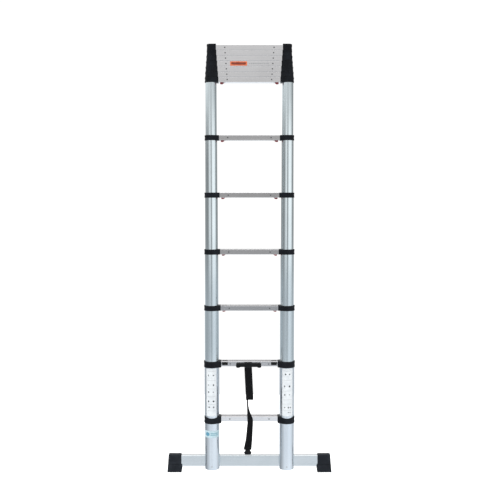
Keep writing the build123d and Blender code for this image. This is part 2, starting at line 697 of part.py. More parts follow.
def make_foot_cap(side):
    """A moulded foot: a sleeve around the bar's end and a thicker sole block below."""
    inner = CAP_INNER + CAP_INSET
    step_outer = CAP_OUTER - CAP_TAPER
    sleeve = (
        (side * inner, CAP_HEIGHT),
        (side * (step_outer - CAP_TAPER), CAP_HEIGHT),
        (side * step_outer, CAP_STEP),
        (side * inner, CAP_STEP),
    )
    sole = (
        (side * CAP_INNER, CAP_STEP),
        (side * (step_outer + 0.5), CAP_STEP),
        (side * CAP_OUTER, 0),
        (side * inner, 0),
        (side * CAP_INNER, CAP_CHAMFER),
    )
    cap_middle = (BAR_FRONT + BAR_BACK) / 2
    with BuildPart() as upper:
        with BuildSketch(facing_front(cap_middle)):
            with BuildLine():
                Polyline(*sleeve, close=True)
            make_face()
        extrude(amount=BAR_DEPTH / 2 + SLEEVE_WALL, both=True)
        fillet(upper.edges().filter_by(Axis.Y).group_by(Axis.Z)[-1], CAP_ROUNDING)
        chamfer(upper.faces().sort_by(Axis.Y)[0].edges(), SLEEVE_CHAMFER)
        chamfer(upper.faces().sort_by(Axis.Y)[-1].edges(), SLEEVE_CHAMFER)
        front = cap_middle - BAR_DEPTH / 2 - SLEEVE_WALL
        add(make_flare(side, inner, front), mode=Mode.SUBTRACT)
    with BuildPart() as lower:
        with BuildSketch(facing_front(cap_middle)):
            with BuildLine():
                Polyline(*sole, close=True)
            make_face()
        extrude(amount=BAR_DEPTH / 2 + SOLE_WALL, both=True)
        fillet(lower.edges().filter_by(Axis.Y), 2)
        chamfer(lower.faces().sort_by(Axis.Y)[0].edges(), SOLE_CHAMFER)
        chamfer(lower.faces().sort_by(Axis.Y)[-1].edges(), SOLE_CHAMFER)
        front = cap_middle - BAR_DEPTH / 2 - SOLE_WALL
        add(make_flare(side, CAP_INNER, front), mode=Mode.SUBTRACT)
    with BuildPart() as cap:
        add(upper.part)
        add(lower.part)
        socket_length = BAR_HALF_LENGTH + PLAY
        with Locations((side * socket_length / 2, STILE_Y + cap_middle, BAR_MIDDLE)):
            Box(
                socket_length,
                BAR_DEPTH + 2 * PLAY,
                BAR_HEIGHT + 2 * PLAY,
                mode=Mode.SUBTRACT,
            )
        with Locations((side * (inner + CAP_OUTER) / 2, STILE_Y + cap_middle, 0)):
            with GridLocations(SOLE_PITCH, 1, SOLE_GROOVES, 1):
                Box(
                    SOLE_GROOVE_WIDTH,
                    BAR_DEPTH + 4 * SOLE_WALL,
                    2 * SOLE_GROOVE_DEPTH,
                    mode=Mode.SUBTRACT,
                )
    return cap


def make_grip():
    """A carry grip with drooping ends, on a block in front of rung 2."""
    middle = rung_height(2) + GRIP_RISE
    block_back = -RUNG_DEPTH / 2 - PLAY
    block_front = STRAP_DEPTH - GRIP_THICKNESS / 2
    with BuildPart() as grip:
        with BuildSketch(facing_front(STRAP_DEPTH)) as outline:
            right = [(GRIP_MIDDLE + place, middle + rise) for place, rise in GRIP_OUTLINE]
            left = [(GRIP_MIDDLE - place, middle + rise) for place, rise in GRIP_OUTLINE]
            with BuildLine():
                Polyline(*right, *reversed(left), close=True)
            make_face()
            fillet(outline.vertices(), GRIP_ROUNDING)
        extrude(amount=GRIP_THICKNESS / 2, both=True)
        fillet(grip.edges(), GRIP_EDGE)
        with BuildSketch(facing_front(block_back)):
            with Locations((LOOP_TOP_X, rung_height(2) + (BLOCK_TOP + BLOCK_FOOT) / 2)):
                RectangleRounded(BLOCK_WIDTH, BLOCK_TOP - BLOCK_FOOT, 2)
        extrude(amount=block_back - block_front + 1)
    return grip


def make_strap_loop():
    """The strap's hanging loop, from the grip's block down to its hem."""
    top = rung_height(2) + BLOCK_FOOT
    with BuildPart() as loop:
        with BuildSketch(facing_front(STRAP_DEPTH)):
            with BuildLine():
                Polyline(
                    (LOOP_TOP_X - STRAP_WIDTH / 2, top),
                    (LOOP_TOP_X + STRAP_WIDTH / 2, top),
                    (LOOP_END_X + STRAP_WIDTH / 2, LOOP_END),
                    (LOOP_END_X - STRAP_WIDTH / 2, LOOP_END),
                    close=True,
                )
            make_face()
        extrude(amount=STRAP_THICKNESS / 2, both=True)
    return loop


def make_strap_tail():
    """The strap's tail, which turns as it hangs in front of rung 1."""
    with BuildPart() as tail:
        for height, across, depth, turn in TAIL_STATIONS:
            facing = (cos(radians(turn)), sin(radians(turn)), 0)
            level = Plane((across, STILE_Y + depth, height), x_dir=facing, z_dir=(0, 0, 1))
            with BuildSketch(level):
                Rectangle(STRAP_WIDTH, STRAP_THICKNESS)
        loft(ruled=True)
    return tail


def make_buckle():
    """The buckle sewn to the tail's end."""
    across = TAIL_STATIONS[-1][1]
    top = TAIL_END - BUCKLE_NECK
    middle = top - BUCKLE_HEIGHT / 2
    with BuildPart() as buckle:
        with BuildSketch(facing_front(STRAP_DEPTH)) as outline:
            with BuildLine():
                Polyline(
                    (across - BUCKLE_WIDTH / 2, middle),
                    (across - BUCKLE_SHOULDER / 2, top),
                    (across + BUCKLE_SHOULDER / 2, top),
                    (across + BUCKLE_WIDTH / 2, middle),
                    (across + BUCKLE_SHOULDER / 2, top - BUCKLE_HEIGHT),
                    (across - BUCKLE_SHOULDER / 2, top - BUCKLE_HEIGHT),
                    close=True,
                )
            make_face()
            fillet(outline.vertices(), BUCKLE_ROUNDING)
        extrude(amount=BUCKLE_THICKNESS / 2, both=True)
        fillet(buckle.edges(), BUCKLE_EDGE)
        with BuildSketch(facing_front(STRAP_DEPTH - BUCKLE_THICKNESS / 2)):
            with Locations((across, middle)):
                with GridLocations(1, BUCKLE_RIB_PITCH, 1, BUCKLE_RIBS):
                    Rectangle(BUCKLE_RIB_LENGTH, BUCKLE_RIB_PITCH / 2)
        extrude(amount=-BUCKLE_RIB_DEPTH, mode=Mode.SUBTRACT)
        with BuildSketch(Plane.XY.offset(top - 2)):
            with Locations((across, STILE_Y + STRAP_DEPTH)):
                Rectangle(BUCKLE_NECK_WIDTH, BUCKLE_THICKNESS / 2)
        extrude(amount=BUCKLE_NECK + 2)
    return buckle


os.makedirs("parts", exist_ok=True)

save(make_lower_tubes(), "lower_tubes")
save(make_rung(1), "bottom_rung")
save(make_collars(1), "bottom_rung_collars")
save(make_rung(2), "second_rung")
save(make_collars(2), "second_rung_collars")
save(make_bar(), "stabiliser_bar")
save(make_saddles(), "bar_saddles")
save(make_plugs(), "tube_end_plugs")
save(make_fasteners(), "base_fasteners")
save(make_foot_cap(LEFT), "foot_cap_left")
save(make_foot_cap(RIGHT), "foot_cap_right")
save(make_grip(), "carry_grip")
save(make_strap_loop(), "strap_upper")
save(make_strap_tail(), "strap_lower")
save(make_buckle(), "strap_buckle")
save(make_end_caps(), "top_caps")

for number in range(3, LAST_RUNG + 1):
    make_section(number)

for number in range(2, LAST_RUNG):
    make_latch(number, LEFT)
    make_latch(number, RIGHT)
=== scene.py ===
"""The look of a telescoping ladder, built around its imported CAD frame.

Metres, in the frame's own axes: +Z is up and the person who climbs stands on the -Y side.
CAD nodes keep their shapes and get procedural materials. The strap's webbing, its stitching,
the rung rivets and the labels are modelled here.
"""

import random
from math import cos, hypot, pi, radians, sin

import bmesh
import bpy
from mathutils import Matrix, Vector


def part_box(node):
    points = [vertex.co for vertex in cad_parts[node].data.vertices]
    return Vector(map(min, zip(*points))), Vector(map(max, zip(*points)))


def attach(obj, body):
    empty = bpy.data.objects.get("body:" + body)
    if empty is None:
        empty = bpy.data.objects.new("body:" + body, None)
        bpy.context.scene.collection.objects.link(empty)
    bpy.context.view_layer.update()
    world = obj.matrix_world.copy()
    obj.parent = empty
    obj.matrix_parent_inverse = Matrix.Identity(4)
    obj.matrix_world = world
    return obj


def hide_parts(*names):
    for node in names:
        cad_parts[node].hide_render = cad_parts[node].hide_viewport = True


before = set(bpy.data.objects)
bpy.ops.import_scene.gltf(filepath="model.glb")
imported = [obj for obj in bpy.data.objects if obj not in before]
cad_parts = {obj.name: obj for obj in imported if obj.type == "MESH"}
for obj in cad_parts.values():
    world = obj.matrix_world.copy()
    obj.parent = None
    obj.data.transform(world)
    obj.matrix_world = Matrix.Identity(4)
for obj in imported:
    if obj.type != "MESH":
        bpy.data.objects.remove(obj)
dice = random.Random(13)
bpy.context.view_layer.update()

LAST_RUNG = 13

# ---------------------------------------------------------------- places read from the frame

tubes_low, tubes_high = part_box("lower_tubes")
STILE_Y = (tubes_low.y + tubes_high.y) / 2
BASE_RADIUS = (tubes_high.y - tubes_low.y) / 2
STILE_X = tubes_high.x - BASE_RADIUS
rung_low, rung_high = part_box("second_rung")
RUNG_FRONT = rung_low.y
HALF_RUNG = (rung_high.z - rung_low.z) / 2


def rung_node(rung):
    """The CAD node that holds a rung."""
    if rung == 1:
        return "bottom_rung"
    if rung == 2:
        return "second_rung"
    return f"section_{rung:02d}_tubes_and_rung"


def rung_body(rung):
    """The CAD body that a rung rides on."""
    return "base" if rung <= 2 else f"section_{rung:02d}"


def rung_height(rung):
    """Height of a rung's centre at rest."""
    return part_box(rung_node(rung))[1].z - HALF_RUNG


def tube_radius(rung):
    """Outer radius of the tubes that carry a rung."""
    if rung <= 2:
        return BASE_RADIUS
    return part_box(rung_node(rung))[1].x - STILE_X


def surface_x(rung, place=0.0):
    """The X of a place along a rung, measured inboard from the surface of its tube."""
    return STILE_X - tube_radius(rung) - place


# ---------------------------------------------------------------- camera

CAMERA_DISTANCE = 3.893  # in front of the stiles' axes
CAMERA_HEIGHT = 1.462
CAMERA_PITCH = 4.13  # degrees below level

camera_data = bpy.data.cameras.new("camera")
camera_data.sensor_width = 36
camera_data.lens = 54.8
camera_data.clip_start = 0.05
camera_data.clip_end = 100
camera = bpy.data.objects.new("camera", camera_data)
bpy.context.scene.collection.objects.link(camera)
camera.location = (0.003, STILE_Y - CAMERA_DISTANCE, CAMERA_HEIGHT)
camera.rotation_euler = (radians(90 - CAMERA_PITCH), 0, 0)
bpy.context.scene.camera = camera

# ---------------------------------------------------------------- shader node helpers


def add(tree, kind, inputs=None, **settings):
    """Adds a shader node. An input is a plain value or another node's output socket."""
    node = tree.nodes.new("ShaderNode" + kind)
    for key, value in settings.items():
        setattr(node, key, value)
    for key, value in (inputs or {}).items():
        if isinstance(value, bpy.types.NodeSocket):
            tree.links.new(value, node.inputs[key])
        else:
            node.inputs[key].default_value = value
    return node


def math_node(tree, operation, first, second=0.0, third=None):
    inputs = {0: first, 1: second}
    if third is not None:
        inputs[2] = third
    return add(tree, "Math", inputs, operation=operation).outputs[0]


def mix_colour(tree, factor, first, second):
    node = add(tree, "Mix", {0: factor, 6: first, 7: second}, data_type="RGBA")
    return node.outputs[2]


def spread(tree, value, low, high, to_low, to_high):
    """Maps low..high to to_low..to_high, clamped and eased."""
    inputs = {0: value, 1: low, 2: high, 3: to_low, 4: to_high}
    return add(tree, "MapRange", inputs, interpolation_type="SMOOTHSTEP").outputs[0]


def ramp(tree, factor, stops):
    """A colour ramp through (place, grey value or colour) stops."""
    node = add(tree, "ValToRGB", {0: factor})
    node.color_ramp.interpolation = "LINEAR"
    elements = node.color_ramp.elements
    while len(elements) < len(stops):
        elements.new(0.5)
    for element, (place, value) in zip(elements, sorted(stops)):
        element.position = place
        element.color = (value, value, value, 1) if isinstance(value, float) else value
    return node.outputs[0]


def noise(tree, vector, scale, detail=2.0, roughness=0.5):
    inputs = {"Vector": vector, "Scale": scale, "Detail": detail, "Roughness": roughness}
    return add(tree, "TexNoise", inputs).outputs[0]


def rgba(red, green, blue):
    return (red, green, blue, 1.0)


def new_material(name):
    """An empty material with its Principled shader wired to the output."""
    material = bpy.data.materials.new(name)
    material.use_nodes = True
    tree = material.node_tree
    tree.nodes.clear()
    shader = add(tree, "BsdfPrincipled")
    add(tree, "OutputMaterial", {"Surface": shader.outputs[0]})
    return material, tree, shader


def wire(tree, shader, inputs):
    """Sets or links the shader's inputs."""
    for key, value in inputs.items():
        if isinstance(value, bpy.types.NodeSocket):
            tree.links.new(value, shader.inputs[key])
        else:
            shader.inputs[key].default_value = value


# ---------------------------------------------------------------- materials

ALONG_X = (9.0, 1500.0, 1500.0)
ALONG_Z = (1500.0, 1500.0, 9.0)


def metal(name, dark, light, smooth, rough, grain, bump):
    """Anodised extruded aluminium: fine lines along the grain, broad clouding and faint scuffs."""
    material, tree, shader = new_material(name)
    place = add(tree, "TexCoord").outputs["Object"]
    stretched = add(tree, "Mapping", {"Vector": place, "Scale": grain}).outputs[0]
    lines = noise(tree, stretched, 1.0, 3.0, 0.6)
    die_lines = noise(tree, stretched, 0.22, 2.0, 0.5)
    clouds = noise(tree, place, 7.0, 3.0)
    scuffs = spread(tree, noise(tree, place, 60.0, 5.0, 0.7), 0.62, 0.72, 0.0, 0.07)
    tone = math_node(tree, "MULTIPLY_ADD", lines, 0.5, math_node(tree, "MULTIPLY", clouds, 0.5))
    finish = spread(tree, die_lines, 0.3, 0.7, smooth, rough)
    height = math_node(tree, "MULTIPLY_ADD", die_lines, 2.0, lines)
    relief = add(tree, "Bump", {"Strength": bump, "Distance": 0.0002, "Height": height})
    wire(
        tree,
        shader,
        {
            "Base Color": mix_colour(tree, spread(tree, tone, 0.3, 0.7, 0.0, 1.0), dark, light),
            "Metallic": 1.0,
            "Roughness": math_node(tree, "ADD", finish, scuffs),
            "Normal": relief.outputs[0],
        },
    )
    return material


def plastic(name, dark, light, smooth, rough, bump, pitch=1600.0, specular=0.17):
    """Moulded plastic or rubber: a fine spark-eroded grain, slow tone changes and worn patches."""
    material, tree, shader = new_material(name)
    place = add(tree, "TexCoord").outputs["Object"]
    grain = noise(tree, place, pitch, 2.0)
    clouds = noise(tree, place, 25.0, 3.0)
    wear = spread(tree, noise(tree, place, 140.0, 4.0, 0.65), 0.58, 0.7, 0.0, 1.0)
    tone = math_node(tree, "MULTIPLY_ADD", wear, 0.35, spread(tree, clouds, 0.35, 0.75, 0.0, 0.65))
    relief = add(tree, "Bump", {"Strength": bump, "Distance": 0.00025, "Height": grain})
    wire(
        tree,
        shader,
        {
            "Base Color": mix_colour(tree, tone, dark, light),
            "Roughness": spread(tree, clouds, 0.3, 0.7, smooth, rough),
            "Specular IOR Level": specular,
            "Normal": relief.outputs[0],
        },
    )
    return material


def zinc(name, dark, light):
    """Zinc-plated steel with a fine crystalline mottle."""
    material, tree, shader = new_material(name)
    place = add(tree, "TexCoord").outputs["Object"]
    mottle = noise(tree, place, 700.0, 4.0, 0.7)
    relief = add(tree, "Bump", {"Strength": 0.2, "Distance": 0.0001, "Height": mottle})
    wire(
        tree,
        shader,
        {
            "Base Color": mix_colour(tree, spread(tree, mottle, 0.3, 0.7, 0.0, 1.0), dark, light),
            "Metallic": 1.0,
            "Roughness": spread(tree, mottle, 0.3, 0.7, 0.28, 0.42),
            "Normal": relief.outputs[0],
        },
    )
    return material


def webbing(name, dark, light):
    """Woven polyester webbing: a herringbone of fine yarns, from the strap's own UV in metres."""
    material, tree, shader = new_material(name)
    flat = add(tree, "UVMap", uv_map="UVMap").outputs[0]
    parts = add(tree, "SeparateXYZ", {0: flat})
    across = parts.outputs[0]
    along = parts.outputs[1]
    zigzag = math_node(tree, "PINGPONG", across, 0.003)
    slanted = math_node(tree, "ADD", along, zigzag)
    yarns = math_node(tree, "SINE", math_node(tree, "MULTIPLY", slanted, 2 * pi / 0.0017))
    warp = math_node(tree, "SINE", math_node(tree, "MULTIPLY", across, 2 * pi / 0.00075))
    weave = math_node(tree, "MULTIPLY_ADD", warp, 0.35, yarns)
    fuzz = noise(tree, flat, 2600.0, 3.0, 0.7)
    height = math_node(tree, "MULTIPLY_ADD", fuzz, 0.8, weave)
    fade = noise(tree, flat, 45.0, 3.0)
    tone = math_node(tree, "MULTIPLY_ADD", fade, 0.5, spread(tree, weave, -1.0, 1.3, 0.0, 0.6))
    relief = add(tree, "Bump", {"Strength": 0.7, "Distance": 0.0002, "Height": height})
    wire(
        tree,
        shader,
        {
            "Base Color": mix_colour(tree, tone, dark, light),
            "Roughness": spread(tree, fuzz, 0.3, 0.7, 0.62, 0.85),
            "Specular IOR Level": 0.1,
            "Sheen Weight": 0.015,
            "Sheen Roughness": 0.4,
            "Normal": relief.outputs[0],
        },
    )
    return material


def vinyl(name, dark, light, roughness=0.38):
    """Printed label film with slightly uneven ink and a soft satin face."""
    material, tree, shader = new_material(name)
    place = add(tree, "TexCoord").outputs["Object"]
    ink = noise(tree, place, 900.0, 3.0, 0.7)
    waves = noise(tree, place, 55.0, 2.0)
    tone = math_node(tree, "MULTIPLY_ADD", ink, 0.4, math_node(tree, "MULTIPLY", waves, 0.6))
    relief = add(tree, "Bump", {"Strength": 0.25, "Distance": 0.0002, "Height": waves})
    wire(
        tree,
        shader,
        {
            "Base Color": mix_colour(tree, spread(tree, tone, 0.3, 0.7, 0.0, 1.0), dark, light),
            "Roughness": spread(tree, waves, 0.3, 0.7, roughness, roughness + 0.12),
            "Specular IOR Level": 0.4,
            "Normal": relief.outputs[0],
        },
    )
    return material


BASE_TUBE_DARK = rgba(0.69, 0.74, 0.79)
BASE_TUBE_LIGHT = rgba(0.77, 0.81, 0.85)
TUBE_DARK = rgba(0.63, 0.70, 0.73)
TUBE_LIGHT = rgba(0.70, 0.77, 0.80)
RUNG_DARK = rgba(0.70, 0.69, 0.70)
RUNG_LIGHT = rgba(0.79, 0.78, 0.79)

MATERIALS = {
    "tube_aluminium": metal(
        "tube_aluminium", BASE_TUBE_DARK, BASE_TUBE_LIGHT, 0.16, 0.22, ALONG_Z, 0.12
    ),
    "section_aluminium": metal(
        "section_aluminium", TUBE_DARK, TUBE_LIGHT, 0.12, 0.17, ALONG_Z, 0.08
    ),
    "rung_aluminium": metal("rung_aluminium", RUNG_DARK, RUNG_LIGHT, 0.10, 0.15, ALONG_X, 0.16),
    "bar_aluminium": metal(
        "bar_aluminium",
        rgba(0.59, 0.63, 0.65),
        rgba(0.66, 0.69, 0.71),
        0.16,
        0.22,
        ALONG_X,
        0.16,
    ),
    "collar_black": plastic(
        "collar_black", rgba(0.0022, 0.003, 0.005), rgba(0.008, 0.0105, 0.0155), 0.36, 0.5, 0.35
    ),
    "cap_black": plastic(
        "cap_black", rgba(0.0026, 0.003, 0.0036), rgba(0.010, 0.011, 0.013), 0.38, 0.52, 0.35
    ),
    "latch_red": plastic(
        "latch_red", rgba(0.17, 0.012, 0.018), rgba(0.33, 0.03, 0.04), 0.32, 0.45, 0.2, 1200.0, 0.45
    ),
    "latch_black": plastic(
        "latch_black", rgba(0.003, 0.0033, 0.0038), rgba(0.011, 0.011, 0.012), 0.36, 0.48, 0.3
    ),
    "foot_rubber": plastic(
        "foot_rubber", rgba(0.006, 0.008, 0.012), rgba(0.018, 0.022, 0.029), 0.5, 0.68, 0.6, 1100.0
    ),
    "plug_grey": plastic(
        "plug_grey", rgba(0.05, 0.052, 0.056), rgba(0.10, 0.10, 0.105), 0.45, 0.6, 0.3
    ),
    "saddle_black": plastic(
        "saddle_black", rgba(0.004, 0.0045, 0.005), rgba(0.012, 0.012, 0.013), 0.5, 0.65, 0.4
    ),
    "grip_black": plastic(
        "grip_black",
        rgba(0.0026, 0.003, 0.0036),
        rgba(0.010, 0.010, 0.012),
        0.4,
        0.55,
        0.45,
        1300.0,
    ),
    "buckle_black": plastic(
        "buckle_black",
        rgba(0.003, 0.003, 0.0036),
        rgba(0.010, 0.010, 0.011),
        0.28,
        0.4,
        0.15,
        1800.0,
    ),
    "fastener_steel": zinc("fastener_steel", rgba(0.42, 0.43, 0.44), rgba(0.62, 0.63, 0.63)),
    "rivet_grey": zinc("rivet_grey", rgba(0.09, 0.09, 0.095), rgba(0.17, 0.17, 0.175)),
    "webbing_black": webbing(
        "webbing_black", rgba(0.0012, 0.0012, 0.0016), rgba(0.007, 0.007, 0.0085)
    ),
    "label_white": vinyl("label_white", rgba(0.56, 0.59, 0.62), rgba(0.66, 0.69, 0.71)),
    "label_orange": vinyl("label_orange", rgba(0.60, 0.12, 0.035), rgba(0.76, 0.19, 0.07)),
    "label_blue": vinyl("label_blue", rgba(0.36, 0.48, 0.53), rgba(0.44, 0.57, 0.62)),
}
INKS = {
    "dark": vinyl("ink_dark", rgba(0.010, 0.012, 0.015), rgba(0.030, 0.033, 0.038)),
    "grey": vinyl("ink_grey", rgba(0.16, 0.17, 0.18), rgba(0.26, 0.27, 0.28)),
    "rust": vinyl("ink_rust", rgba(0.16, 0.025, 0.015), rgba(0.26, 0.05, 0.03)),
    "teal": vinyl("ink_teal", rgba(0.17, 0.32, 0.38), rgba(0.24, 0.40, 0.46)),
    "blue": vinyl("ink_blue", rgba(0.05, 0.19, 0.28), rgba(0.10, 0.28, 0.40)),
}

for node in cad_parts.values():
    for slot in node.material_slots:
        slot.material = MATERIALS[slot.material.name]


RUNG_START = 0.005  # inboard of the tube, past the tube's own faces
PIN_START = 0.0139  # a latch's faces nearer the tube than this are its pin's


def give_rung_its_metal(rung):
    """A section's node holds two tubes and a rung; the rung's faces get the rung's own finish."""
    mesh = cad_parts[rung_node(rung)].data
    mesh.materials.append(MATERIALS["rung_aluminium"])
    limit = surface_x(rung, RUNG_START)
    for face in mesh.polygons:
        if abs(face.center.x) < limit:
            face.material_index = 1


def give_latches_their_pins(rung):
    """The pin that stands out of a latch's slide is steel."""
    start = surface_x(rung, PIN_START)
    for hand in ("left", "right"):
        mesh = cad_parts[f"latch_{hand}_{rung:02d}"].data
        mesh.materials.append(MATERIALS["fastener_steel"])
        for face in mesh.polygons:
            if abs(face.center.x) > start:
                face.material_index = 1


for rung in range(3, LAST_RUNG + 1):
    give_rung_its_metal(rung)
for rung in range(2, LAST_RUNG):
    give_latches_their_pins(rung)

# ---------------------------------------------------------------- mesh helpers


def new_piece(name, body, material, bm, smooth=True):
    """Turns a bmesh into a named piece that rides on a CAD body."""
    bmesh.ops.remove_doubles(bm, verts=bm.verts, dist=1e-7)
    bmesh.ops.recalc_face_normals(bm, faces=bm.faces)
    mesh = bpy.data.meshes.new(name)
    bm.to_mesh(mesh)
    bm.free()
    mesh.materials.append(material)
    for face in mesh.polygons:
        face.use_smooth = smooth
    piece = bpy.data.objects.new(name, mesh)
    bpy.context.scene.collection.objects.link(piece)
    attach(piece, body)
    return piece


def sharpen(piece, angle=35.0):
    """Keeps a piece's edges crisp where its faces meet at more than this angle."""
    modifier = piece.modifiers.new("edges", "EDGE_SPLIT")
    modifier.split_angle = radians(angle)
    return piece


def lathe(bm, profile, centre, axis, side, segments=28):
    """Adds a turned form: profile is (radius, height along axis) from the rim to the middle."""
    up = side.cross(axis)
    rings = []
    for radius, height in profile:
        ring = []
        count = segments if radius > 0 else 1
        for index in range(count):
            turn = 2 * pi * index / count
            out = side * cos(turn) + up * sin(turn)
            ring.append(bm.verts.new(centre + axis * height + out * radius))
        rings.append(ring)
    for lower, upper in zip(rings, rings[1:]):
        for index in range(segments):
            after = (index + 1) % segments
            if len(upper) == 1:
                bm.faces.new((lower[index], lower[after], upper[0]))
            elif len(lower) == 1:
                bm.faces.new((lower[0], upper[after], upper[index]))
            else:
                bm.faces.new((lower[index], lower[after], upper[after], upper[index]))


def capsule(bm, start, end, radius, segments=8):
    """Adds a short round-ended thread or rib from start to end."""
    along = end - start
    length = along.length
    along.normalize()
    side = along.orthogonal().normalized()
    profile = [(0.0, -radius)]
    profile += [(radius * cos(a), radius * sin(a)) for a in (-pi / 4, 0.0)]
    profile += [(radius * cos(a), length + radius * sin(a)) for a in (0.0, pi / 4)]
    profile.append((0.0, length + radius))
    lathe(bm, profile, start, along, side, segments)


# ---------------------------------------------------------------- rung rivets

RIVET_PLACE = 0.054  # inboard of the tube's surface
RIVET_PLACE_BY_PAD = 0.0565  # rung 2's clear the thumb pads' travel
RIVET_PROFILE = (
    (0.0035, -0.0002),
    (0.0035, 0.0003),
    (0.0033, 0.0007),
    (0.0027, 0.0010),
    (0.0018, 0.0012),
    (0.0013, 0.00115),
    (0.0012, 0.0004),
    (0.0, 0.0003),
)

for rung in range(1, LAST_RUNG + 1):
    bm = bmesh.new()
    place = RIVET_PLACE_BY_PAD if rung == 2 else RIVET_PLACE
    for hand in (-1, 1):
        centre = Vector((hand * surface_x(rung, place), RUNG_FRONT, rung_height(rung)))
        lathe(bm, RIVET_PROFILE, centre, Vector((0, -1, 0)), Vector((1, 0, 0)), 24)
    rivets = new_piece(
        f"rung_rivets_{rung:02d}", rung_body(rung), MATERIALS["rivet_grey"], bm
    )
    sharpen(rivets, 50)

# ---------------------------------------------------------------- labels

FILM = 0.00015
FILM_LIFT = 0.00003  # a label's underside, above what it is stuck on
INK_FILM = 0.00006
FILM_ROWS = 12
CORNER_ROWS = 3  # of those, how many round each end's corners
FILM_COLUMN = 0.0025


def on_tube(side, facing, radius, height):
    """Places a label's (across, up) points on a stile tube; facing is its middle's direction."""

    def place(across, up, lift):
        turn = facing + across / radius
        out = Vector((sin(turn), -cos(turn), 0))
        return Vector((side * STILE_X, STILE_Y, height + up)) + out * (radius + lift)

    return place


def on_rung(middle, height):
    """Places a label's points on the flat front of a rung."""

    def place(across, up, lift):
        return Vector((middle + across, RUNG_FRONT - lift, height + up))

    return place


def film(bm, place, across, up, width, height, corner, base, thickness=FILM):
    """Adds one rounded rectangle of film, with thin edges down to what it is stuck on."""
    columns = max(4, round(width / FILM_COLUMN))
    levels = []
    for row in range(FILM_ROWS + 1):
        if row <= CORNER_ROWS:
            down = corner * (1 - row / CORNER_ROWS)
        elif row >= FILM_ROWS - CORNER_ROWS:
            down = corner * (1 - (FILM_ROWS - row) / CORNER_ROWS)
        else:
            down = 0.0
        inset = corner - (corner * corner - down * down) ** 0.5
        if row <= CORNER_ROWS:
            level = -height / 2 + corner - down
        elif row >= FILM_ROWS - CORNER_ROWS:
            level = height / 2 - corner + down
        else:
            share = (row - CORNER_ROWS) / (FILM_ROWS - 2 * CORNER_ROWS)
            level = -height / 2 + corner + (height - 2 * corner) * share
        levels.append((level, width / 2 - inset))

    def grid(lift):
        return [
            [
                bm.verts.new(place(across + half * (2 * c / columns - 1), up + level, lift))
                for c in range(columns + 1)
            ]
            for level, half in levels
        ]

    top = grid(base + thickness)
    for lower, upper in zip(top, top[1:]):
        for c in range(columns):
            bm.faces.new((lower[c], lower[c + 1], upper[c + 1], upper[c]))
    rim = [(0, c) for c in range(columns)]
    rim += [(r, columns) for r in range(FILM_ROWS)]
    rim += [(FILM_ROWS, c) for c in range(columns, 0, -1)]
    rim += [(r, 0) for r in range(FILM_ROWS, 0, -1)]
    feet = []
    for r, c in rim:
        level, half = levels[r]
        foot = place(across + half * (2 * c / columns - 1), up + level, base)
        feet.append(bm.verts.new(foot))
    for index, (r, c) in enumerate(rim):
        after = (index + 1) % len(rim)
        r2, c2 = rim[after]
        bm.faces.new((top[r][c], feet[index], feet[after], top[r2][c2]))


def label(name, body, slot, place, width, height, corner=0.0015):
    bm = bmesh.new()
    film(bm, place, 0, 0, width, height, corner, FILM_LIFT)
    return sharpen(new_piece(name, body, MATERIALS[slot], bm), 40)


def marks(name, body, ink, place, spots):
    """Plain dots and bars printed on a label: spots are (across, up, width, height)."""
    bm = bmesh.new()
    for across, up, width, height in spots:
        corner = min(width, height) * 0.45
        film(bm, place, across, up, width, height, corner, FILM, INK_FILM)
    return sharpen(new_piece(name, body, INKS[ink], bm), 40)


def dot_rows(rows):
    """Rows of plain marks: each row is (up, ((across, width, height), ...)), in millimetres."""
    spots = []
    for up, row in rows:
        for across, width, height in row:
            spots.append((across / 1000, up / 1000, width / 1000, height / 1000))
    return spots


TALL_LABEL = 0.248
TALL_MIDDLE = 0.4475
BLUE_MIDDLE = 0.2275
LEFT_FACING = radians(-4)
RIGHT_FACING = radians(3)

left_place = on_tube(-1, LEFT_FACING, BASE_RADIUS, TALL_MIDDLE)
label("label_left", "base", "label_white", left_place, 0.055, TALL_LABEL)
marks(
    "label_left_marks",
    "base",
    "dark",
    left_place,
    dot_rows(
        (
            (89, ((-15, 4, 10), (12, 8, 5))),
            (39, ((-15, 5, 6), (12, 6, 10))),
            (2, ((-14, 6, 9), (11, 5, 5))),
            (-46, ((-14, 7, 9), (12, 9, 9))),
            (-77, ((-11, 8, 7), (13, 6, 9))),
        )
    ),
)
marks(
    "label_left_rules",
    "base",
    "grey",
    left_place,
    dot_rows([(up, ((0, 44, 0.8),)) for up in (110, 62, 19, -22, -62, -96)]),
)

right_place = on_tube(1, RIGHT_FACING, BASE_RADIUS, TALL_MIDDLE)
label("label_right", "base", "label_white", right_place, 0.058, TALL_LABEL)
marks(
    "label_right_marks",
    "base",
    "dark",
    right_place,
    dot_rows(
        (
            (95, ((-10, 8, 8), (11, 7, 6))),
            (32, ((-15, 5, 9), (11, 8, 10))),
            (-12, ((-14, 6, 8), (10, 5, 4))),
            (-79, ((-14, 5, 6), (5, 7, 8), (17, 5, 7))),
            (-104, ((5, 6, 4), (14, 4, 6))),
        )
    ),
)
marks(
    "label_right_rules",
    "base",
    "grey",
    right_place,
    dot_rows([(up, ((0, 46, 0.8),)) for up in (112, 64, 8, -38, -60, -93)]),
)

blue_place = on_tube(-1, 0.0, BASE_RADIUS, BLUE_MIDDLE)
label("label_blue", "base", "label_blue", blue_place, 0.088, 0.037, 0.003)
patch = [(-0.024, 0, 0.023, 0.022)]
marks("label_blue_patch", "base", "blue", blue_place, patch)
marks(
    "label_blue_bars",
    "base",
    "teal",
    blue_place,
    [(0.014, 0.0042, 0.044, 0.0062), (0.014, -0.0042, 0.044, 0.0062)],
)

